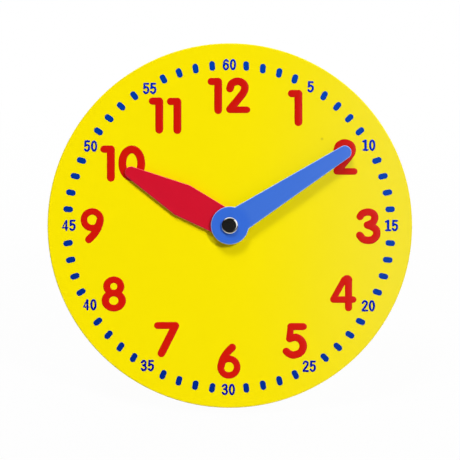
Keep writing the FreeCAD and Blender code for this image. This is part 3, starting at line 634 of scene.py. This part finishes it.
def smooth_line(points):
    """A smooth line through points. Two points stay a straight line."""
    points = [Vector(p) for p in points]
    if len(points) == 2:
        return points
    before = points[0] * 2 - points[1]
    after = points[-1] * 2 - points[-2]
    knots = [before, *points, after]
    line = []
    for a, b, c, d in zip(knots, knots[1:], knots[2:], knots[3:]):
        for step in range(LINE_STEPS):
            t = step / LINE_STEPS
            line.append(((b * 2) + (c - a) * t + (a * 2 - b * 5 + c * 4 - d) * t ** 2
                         + (b * 3 - a - c * 3 + d) * t ** 3) / 2)
    return [*line, points[-1]]


def ring_line(x, z, half_width, half_height):
    """The points of an oval round a middle."""
    angles = [2 * math.pi * i / RING_STEPS for i in range(RING_STEPS)]
    return [Vector((x + half_width * math.cos(a), z + half_height * math.sin(a)))
            for a in angles]


print("a line through 3 points:", len(smooth_line([(0, 0), (1, 1), (2, 0)])), "points")

# %% Strokes
INK_DEPTH = 0.12 * MM
TUBE = 6.0
TIP_ANGLES = [math.radians(a) for a in (25, 48, 66, 80, 88)]


def add_stroke(curve, line, width, closed):
    """Adds one stroke to a curve: its points, their widths and two round tips."""
    points = [(p, 1.0) for p in line]
    if not closed:
        start = (line[0] - line[1]).normalized() * width / 2
        end = (line[-1] - line[-2]).normalized() * width / 2
        first = [(line[0] + start * math.sin(a), math.cos(a)) for a in reversed(TIP_ANGLES)]
        last = [(line[-1] + end * math.sin(a), math.cos(a)) for a in TIP_ANGLES]
        points = first + points + last
    spline = curve.splines.new("POLY")
    spline.points.add(len(points) - 1)
    for knot, (place, share) in zip(spline.points, points):
        knot.co = (place.x * MM, 0, place.y * MM, 1)
        knot.radius = share * width / TUBE
    spline.use_cyclic_u = closed


def written(name, strokes, roundness):
    """Writes strokes, given in millimetres on the dial, as a thin mesh."""
    let_go()
    bpy.ops.curve.primitive_nurbs_path_add()
    figure = bpy.context.object
    figure.name = name
    figure.data.splines.clear()
    figure.data.dimensions = "3D"
    figure.data.bevel_depth = TUBE / 2 * MM
    figure.data.bevel_resolution = roundness
    figure.data.use_fill_caps = True
    for line, width, closed in strokes:
        add_stroke(figure.data, line, width, closed)
    bpy.ops.object.convert(target="MESH")
    figure = bpy.context.object
    bpy.ops.object.mode_set(mode="EDIT")
    bpy.ops.mesh.select_all(action="SELECT")
    widest = max(width for _, width, _ in strokes) * MM
    bpy.ops.transform.resize(value=(1, 2 * INK_DEPTH / widest, 1), center_override=(0, 0, 0))
    bpy.ops.mesh.normals_make_consistent(inside=False)
    bpy.ops.object.mode_set(mode="OBJECT")
    bpy.ops.object.shade_smooth()
    return figure


def placed(figures, shapes, weight):
    """The strokes of some figures, each moved to its place and made heavier by a factor."""
    return [([p + Vector((x, z)) for p in line], width * weight, closed)
            for figure, x, z in figures for line, width, closed in shapes[figure]]


print("the ink stands", round(INK_DEPTH / MM, 2), "mm off the dial")

# %% [markdown]
# ## The shapes of the figures
# Each figure is a list of strokes, given in millimetres from its middle: the points a
# stroke passes through and its width. Some rings are doubled, which makes them heavier at
# the sides. The 9 is the 6 turned half round, so it needs no points of its own.

# %% Large figures
def stroke(width, *points):
    return (smooth_line(points), width, False)


def ring(width, x, z, half_width, half_height):
    return (ring_line(x, z, half_width, half_height), width, True)


def turned_round(strokes):
    return [([-p for p in line], width, closed) for line, width, closed in strokes]


SIX = [ring(5.2, 0, -4.9, 6.85, 6.85),
       stroke(5.9, (2.8, 11.3), (-0.2, 8.3), (-2.6, 5.3), (-5.0, 1.0), (-6.5, -4.2))]
LARGE = {
    "0": [ring(6.2, 0, 0, 7.8, 11.4)],
    "1": [stroke(5.8, (-2.9, 11.6), (2.7, 11.5)), stroke(6.2, (2.7, 11.4), (2.7, -11.9))],
    "2": [stroke(6.0, (-6.5, 5.4), (-4.8, 9.5), (-0.3, 11.4), (4.3, 9.6), (5.8, 5.9), (4.4, 1.9),
                 (0.2, -3.6), (-6.5, -11.6)),
          stroke(5.2, (-6.4, -12.05), (7.45, -12.05))],
    "3": [stroke(5.7, (-6.7, 7.8), (-4.7, 10.3), (-0.3, 11.6), (4.0, 10.3), (5.4, 6.9),
                 (3.8, 3.2), (-0.7, 0.9)),
          stroke(5.9, (-0.7, 0.9), (3.4, -0.6), (6.6, -3.3), (6.7, -7.6), (3.8, -10.9),
                 (-0.3, -11.7), (-4.2, -10.7), (-7.0, -7.6))],
    "4": [stroke(4.7, (0.8, 11.0), (-8.3, -5.2)), stroke(5.2, (-8.0, -5.4), (8.2, -5.4)),
          stroke(5.6, (4.4, 10.6), (4.4, -12.1)), stroke(8.0, (2.9, 10.5), (3.3, 10.6))],
    "5": [stroke(5.6, (-3.3, 11.7), (7.0, 11.7)), stroke(5.2, (-3.3, 11.6), (-4.4, 1.9)),
          stroke(5.9, (-4.2, 1.8), (-1.2, 2.7), (1.6, 2.7), (5.2, 0.4), (6.9, -4.2), (4.9, -9.4),
                 (-0.7, -11.7), (-4.3, -10.8), (-7.0, -8.7))],
    "6": SIX,
    "7": [stroke(5.5, (-7.5, 11.6), (7.0, 11.6)), stroke(6.1, (7.1, 11.3), (-4.3, -11.3))],
    "8": [ring(5.0, 0, 6.15, 6.1, 5.6), ring(5.0, 0, 6.15, 5.45, 5.5),
          ring(5.15, 0, -5.55, 7.35, 6.3), ring(5.15, 0, -5.55, 6.5, 6.2)],
    "9": turned_round(SIX),
}
print("large figures:", sorted(LARGE))

# %% [markdown]
# ## The hour numbers
# Every figure has its own place, because the artwork of such a dial is set by eye and not
# by rule: the numbers stand upright, and each sits a little in or out of its ring.
# One weight makes every stroke heavier at once, so a single number sets how bold they are.

# %% Hour numbers
HOUR_WEIGHT = 1.06
HOURS = {
    "hour_12": [("1", -12.3, 106.8), ("2", 6.6, 107.2)], "hour_1": [("1", 53.7, 96.9)],
    "hour_2": [("2", 94.8, 56.5)], "hour_3": [("3", 113.8, -0.5)],
    "hour_4": [("4", 93.2, -55.5)], "hour_5": [("5", 53.45, -94.8)],
    "hour_6": [("6", -0.8, -111.5)], "hour_7": [("7", -51.9, -93.8)],
    "hour_8": [("8", -95.4, -56.2)], "hour_9": [("9", -113.1, -0.2)],
    "hour_10": [("1", -100.5, 51.2), ("0", -80.6, 51.2)],
    "hour_11": [("1", -60.7, 90.7), ("1", -45.8, 90.4)],
}
for name, figures in HOURS.items():
    number = written(name, placed(figures, LARGE, HOUR_WEIGHT), roundness=4)
    finish_piece(set_on_dial(number), "dial", red_ink, "hand_red")

# %% [markdown]
# ## The minute numbers
# The small numbers are a narrow plain letter with a thin stroke. They are drawn the same
# way, from their own points and with a weight of their own. So thin a stroke is too thin
# for its roundness to show, so its tube has fewer sides.

# %% Minute numbers
SMALL = {
    "0": [ring(1.35, 0, 0, 1.72, 3.85)],
    "1": [stroke(1.3, (-1.5, 3.1), (0.1, 3.85)), stroke(1.4, (0.25, 3.8), (0.25, -3.8)),
          stroke(1.2, (-1.45, -3.9), (1.95, -3.9))],
    "2": [stroke(1.35, (-1.65, 2.4), (-1.0, 3.5), (0.15, 3.85), (1.4, 3.1), (1.6, 1.7),
                 (0.4, -0.6), (-1.3, -2.6), (-1.7, -3.7)),
          stroke(1.3, (-1.7, -3.9), (1.8, -3.9))],
    "3": [stroke(1.35, (-1.6, 2.7), (-0.7, 3.7), (0.7, 3.7), (1.5, 2.4), (0.9, 0.8), (-0.5, 0.3)),
          stroke(1.35, (-0.5, 0.3), (1.1, -0.3), (1.7, -1.9), (0.9, -3.5), (-0.6, -3.8),
                 (-1.7, -2.7))],
    "4": [stroke(0.8, (0.5, 4.05), (-2.2, -1.7)), stroke(0.95, (-2.2, -1.9), (1.9, -1.9)),
          stroke(1.15, (0.8, 3.8), (0.8, -3.85))],
    "5": [stroke(1.3, (-1.3, 3.85), (1.6, 3.85)), stroke(1.35, (-1.3, 3.8), (-1.45, 0.3)),
          stroke(1.35, (-1.45, 0.2), (0.1, 1.0), (1.5, 0.2), (1.75, -1.6), (0.9, -3.4),
                 (-0.5, -3.8), (-1.7, -2.8))],
    "6": [ring(1.35, 0, -1.55, 1.72, 2.3),
          stroke(1.35, (1.5, 2.9), (0.5, 3.8), (-0.9, 3.1), (-1.6, 1.2), (-1.72, -1.4))],
}
MINUTES = {
    5: (66.4, 114.0), 10: (114.2, 66.0), 15: (132.8, 0.0), 20: (113.9, -66.0),
    25: (65.3, -115.7), 30: (-1.2, -134.8), 35: (-67.8, -115.2), 40: (-115.0, -65.1),
    45: (-132.3, 0.1), 50: (-114.5, 65.3), 55: (-65.9, 112.7), 60: (-0.3, 132.3),
}
FIGURE_PITCH = 5.8
MINUTE_WEIGHT = 1.56
for minute, (x, z) in MINUTES.items():
    text = str(minute)
    start = x - (len(text) - 1) / 2 * FIGURE_PITCH
    figures = [(figure, start + i * FIGURE_PITCH, z) for i, figure in enumerate(text)]
    number = written("minute_%02d" % minute, placed(figures, SMALL, MINUTE_WEIGHT), roundness=1)
    finish_piece(set_on_dial(number), "dial", navy_ink, "hand_blue")

# %% [markdown]
# ## The minute marks
# Between the minute numbers are short printed bars with round ends, four between every two
# numbers. One is made from a cube of its size, with its four upright corners bevelled.
# An Array modifier would set them all evenly. On this dial each bar leans a little and
# their ring isn't quite round, as if drawn by hand, so each copy gets its own place.
# A few slow waves round the dial give such a wander. Each wave has a size, a pace from
# minute to minute, and a start.

# %% One bar
BAR_WIDTH, BAR_LENGTH, BAR_CORNER = 4.75 * MM, 7.95 * MM, 2.27 * MM
let_go()
bpy.ops.mesh.primitive_cube_add(size=1)
bar = bpy.context.object
bar.scale = (BAR_WIDTH, 2 * INK_DEPTH, BAR_LENGTH)
bpy.ops.object.transform_apply(scale=True)
bpy.ops.object.mode_set(mode="EDIT")
bpy.ops.mesh.select_mode(type="EDGE")
bpy.ops.mesh.select_all(action="DESELECT")
bpy.ops.object.mode_set(mode="OBJECT")
for edge in bar.data.edges:
    a, b = (bar.data.vertices[i].co for i in edge.vertices)
    edge.select = abs((a - b).normalized().y) > 0.9
bpy.ops.object.mode_set(mode="EDIT")
bpy.ops.mesh.bevel(offset=BAR_CORNER, segments=5, affect="EDGES")
bpy.ops.object.mode_set(mode="OBJECT")
print("one bar:", len(bar.data.polygons), "faces")

# %% The ring of bars
RING_MIDDLE = Vector((-0.5, -0.85))
RING_RADIUS = 133.0
MEAN_LEAN = -3.4
LEAN_WAVES = ((3.5, 0.3, -2.0), (4.0, 0.4, 2.7), (3.0, 1.6, 2.6))
OUTWARD_WAVE = (0.34, 0.08, -0.93)
ONWARD_WAVE = (0.33, 0.12, 2.72)


def wave(minute, size, pace, start):
    """How far the drawing strays at one minute, in degrees or millimetres."""
    return size * math.sin(pace * minute + start)


bars = []
for minute in range(60):
    if minute % 5 == 0:
        continue
    angle = math.radians(6 * minute)
    outward = Vector((math.sin(angle), math.cos(angle)))
    onward = Vector((math.cos(angle), -math.sin(angle)))
    middle = (RING_MIDDLE + outward * (RING_RADIUS + wave(minute, *OUTWARD_WAVE))
              + onward * wave(minute, *ONWARD_WAVE))
    lean = MEAN_LEAN + sum(wave(minute, *each) for each in LEAN_WAVES)
    take(bar)
    bpy.ops.object.duplicate(linked=False)
    copy = bpy.context.object
    copy.location = (middle.x * MM, 0, middle.y * MM)
    copy.rotation_euler = (0, angle + math.radians(lean), 0)
    bars.append(copy)
take(*bars)
bpy.ops.object.transform_apply(location=True, rotation=True, scale=True)
bpy.ops.object.join()
minute_marks = bpy.context.object
minute_marks.name = "minute_marks"
bpy.data.objects.remove(bar)
finish_piece(set_on_dial(minute_marks), "dial", blue_ink, "hand_blue")
print("bars:", len(bars))

# %% [markdown]
# ## The floor
# The clock stands on pale paper that should look plain white. More light would do that, but
# it would burn out the clock too. So the paper glows instead, for rays that come straight
# from the camera, from a mirror or through glass. Near the clock three per cent of it stays
# plain paper, which keeps the clock's shadow.
# In a mirror only the paper near the clock glows fully. Further out it is dark, so that the
# bright cap shows a small sheet of paper in a dark room.

# %% Floor
PAPER_GREY = "BCBCBC"
MIRROR_PALE, MIRROR_DARK, DARK_GLOW = 0.3, 0.6, 0.1
SHADOW_FULL, SHADOW_GONE, SHADOW_SHARE = 0.2, 1.0, 0.03
FLOOR_SIZE = 12
let_go()
bpy.ops.mesh.primitive_plane_add(size=FLOOR_SIZE)
floor = bpy.context.object
floor.name = "studio_floor"
floor_paint, tree, shader = new_material(
    "studio_paper_white", Roughness=0.9, Base_Color=linear(PAPER_GREY))
rays = add_node(tree, "ShaderNodeLightPath")
spot = add_node(tree, "ShaderNodeTexCoord").outputs["Object"]
away = add_node(tree, "ShaderNodeVectorMath", {0: spot}, operation="LENGTH")
far = add_node(tree, "ShaderNodeMapRange", {
    "Value": away.outputs["Value"], "From Min": MIRROR_PALE, "From Max": MIRROR_DARK})
mirrored = add_node(tree, "ShaderNodeMath", {
    0: far.outputs["Result"], 1: rays.outputs["Is Glossy Ray"]}, operation="MULTIPLY")
strength = add_node(tree, "ShaderNodeMapRange", {
    "Value": mirrored.outputs["Value"], "To Min": 1.0, "To Max": DARK_GLOW})
white = add_node(tree, "ShaderNodeEmission", {
    "Color": (1, 1, 1, 1), "Strength": strength.outputs["Result"]})
share = add_node(tree, "ShaderNodeMapRange", {
    "Value": away.outputs["Value"], "From Min": SHADOW_FULL, "From Max": SHADOW_GONE,
    "To Min": 1.0 - SHADOW_SHARE, "To Max": 1.0})
seen = rays.outputs["Is Camera Ray"]
for ray in ("Is Glossy Ray", "Is Transmission Ray"):
    seen = add_node(tree, "ShaderNodeMath", {
        0: seen, 1: rays.outputs[ray]}, operation="MAXIMUM").outputs["Value"]
amount = add_node(tree, "ShaderNodeMath", {
    0: seen, 1: share.outputs["Result"]}, operation="MULTIPLY")
mixed = add_node(tree, "ShaderNodeMixShader", {
    0: amount.outputs["Value"], 1: shader.outputs["BSDF"], 2: white.outputs["Emission"]})
tree.links.new(mixed.outputs["Shader"], tree.nodes["Material Output"].inputs["Surface"])
floor.data.materials.append(floor_paint)
print("floor:", [round(side, 1) for side in floor.dimensions[:2]], "m")

# %% [markdown]
# ## The room
# The camera and glass see a white room. Light and mirrors see a studio: dark behind the
# camera, so the flat dial and the bright cap have something dark to show, with three pale
# parts. A panel at the right gives the dial its sheen and the cap its right arc. A ceiling
# gives the upper arc. A pale wall behind the clock lights its back.
# The parts could be real boards, but a board would throw shadows and stand in the way of
# other views. So a part is what lies inside some limits in the sky of the world. A limit is
# a direction, how far along it the part starts and how far along it the part is full. Where
# the second number is the smaller one, the part lies on the near side of the limit.

# %% World
DARK_ROOM = 0.014
world = bpy.data.worlds.new("studio_room")
bpy.context.scene.world = world
world.use_nodes = True
tree = world.node_tree
tree.nodes.clear()
rays = add_node(tree, "ShaderNodeLightPath")
way = add_node(tree, "ShaderNodeTexCoord").outputs["Generated"]


def pale_part(matt, mirrored, *limits):
    """The light that one part of the room gives a matt surface, and shows in a mirror."""
    light = add_node(tree, "ShaderNodeMapRange", {
        "Value": rays.outputs["Is Glossy Ray"],
        "To Min": matt, "To Max": mirrored}).outputs["Result"]
    for direction, start, full in limits:
        along = add_node(tree, "ShaderNodeVectorMath", {
            0: way, 1: direction}, operation="DOT_PRODUCT")
        inside = add_node(tree, "ShaderNodeMapRange", {
            "Value": along.outputs["Value"], "From Min": start, "From Max": full},
            interpolation_type="SMOOTHSTEP")
        light = add_node(tree, "ShaderNodeMath", {
            0: light, 1: inside.outputs["Result"]}, operation="MULTIPLY").outputs["Value"]
    return light


panel = pale_part(
    0.05, 1.5,
    (across, 0.02, 0.2),                        # to the right of the clock
    (across, 0.94, 0.86),                       # but not straight to its right
    (dial_up - across * 0.2, -0.24, -0.09),     # not far below the clock
    (dial_up - across, 0.12, 0.02))             # and under a slanting upper edge
ceiling = pale_part(
    0.15, 1.5,
    (dial_up - across * 0.15, 0.54, 0.64),      # well above the clock
    (-across, 0.62, 0.5))                       # and not far to the left
back_wall = pale_part(0.8, 1.0, (rearward, 0.1, 0.5))
light = DARK_ROOM
for part in (panel, ceiling, back_wall):
    light = add_node(tree, "ShaderNodeMath", {
        0: light, 1: part}, operation="MAXIMUM").outputs["Value"]
room = add_node(tree, "ShaderNodeBackground", {"Color": (1, 1, 1, 1), "Strength": light})
paper = add_node(tree, "ShaderNodeBackground", {"Color": (1, 1, 1, 1), "Strength": 1.0})
seen = add_node(tree, "ShaderNodeMath", {
    0: rays.outputs["Is Camera Ray"], 1: rays.outputs["Is Transmission Ray"]},
    operation="MAXIMUM")
mixed = add_node(tree, "ShaderNodeMixShader", {
    0: seen.outputs["Value"], 1: room.outputs["Background"], 2: paper.outputs["Background"]})
add_node(tree, "ShaderNodeOutputWorld", {"Surface": mixed.outputs["Shader"]})
print("room:", len(tree.nodes), "nodes")

# %% [markdown]
# ## The lamps
# Three square lamps stand far off. A lamp close by would need fewer watts, but its light
# would fade from one side of the dial to the other. The lamp at the right is small for its
# distance and gives short, crisp shadows. The one above is larger and gives soft ones, and
# the third lights the back. They give light but no mirror image, because a lamp's image
# burns a white patch into a glossy rim.
# Each lamp is told the share of the light that it should bring, and its watts follow from
# its distance and its slant.

# %% Lamps
# Name, place in millimetres on the dial, size in metres, and share of the light.
LAMPS = (
    ("lamp_right", (8660, -12020, 6020), 2.6, 0.522),
    ("lamp_top", (-3360, -7620, 12480), 3.9, 0.305),
    ("lamp_behind", (1900, 3400, 2600), 1.6, 0.38),
)
for name, place, size, share in LAMPS:
    let_go()
    bpy.ops.object.light_add(type="AREA", location=dial_point(*place))
    lamp = bpy.context.object
    lamp.name = name
    lamp.data.size = size
    lamp.visible_glossy = False
    beam = dial_point(0, 0, 0) - dial_point(*place)
    slant = abs(beam.normalized().dot(rearward))
    lamp.data.energy = share * (math.pi * beam.length) ** 2 / slant
    lamp.rotation_euler = beam.to_track_quat("-Z", "Y").to_euler()
    print(name, round(lamp.data.energy), "W at", round(beam.length, 2), "m")

# %% [markdown]
# ## The camera
# The camera looks straight at the dial, so it looks down by the dial's lean. A short lens
# would have to stand close, and would show the hands, which are in front of the dial, a
# little too large for it. So a 100 mm lens looks on from further off. On a 36 mm sensor it
# has a focal length of 1278 pixels in a picture 460 pixels wide. That gives the distance at
# which the dial is 365 pixels wide. The middle of the picture is a little under the middle
# of the dial.

# %% Camera
PICTURE, SENSOR, LENS = 460, 36.0, 100.0
DIAL_RADIUS, RADIUS_PIXELS = 150.0, 182.45
AIM_X, AIM_Z = 0.15, -3.69
distance = DIAL_RADIUS * LENS / SENSOR * PICTURE / RADIUS_PIXELS
let_go()
bpy.ops.object.camera_add()
camera = bpy.context.object
camera.data.lens = LENS
camera.data.sensor_width = SENSOR
camera.data.clip_end = 50
camera.matrix_world = Matrix.Translation(dial_point(AIM_X, -distance, AIM_Z)) @ (
    DIAL_PLACE.to_3x3().to_4x4() @ Matrix.Rotation(math.radians(90), 4, "X"))
bpy.context.scene.camera = camera
print("camera at", [round(v, 3) for v in camera.location], "distance", round(distance), "mm")

# %% [markdown]
# ## View
# The Standard view shows a colour as it is written.

# %% View
bpy.context.scene.view_settings.view_transform = "Standard"
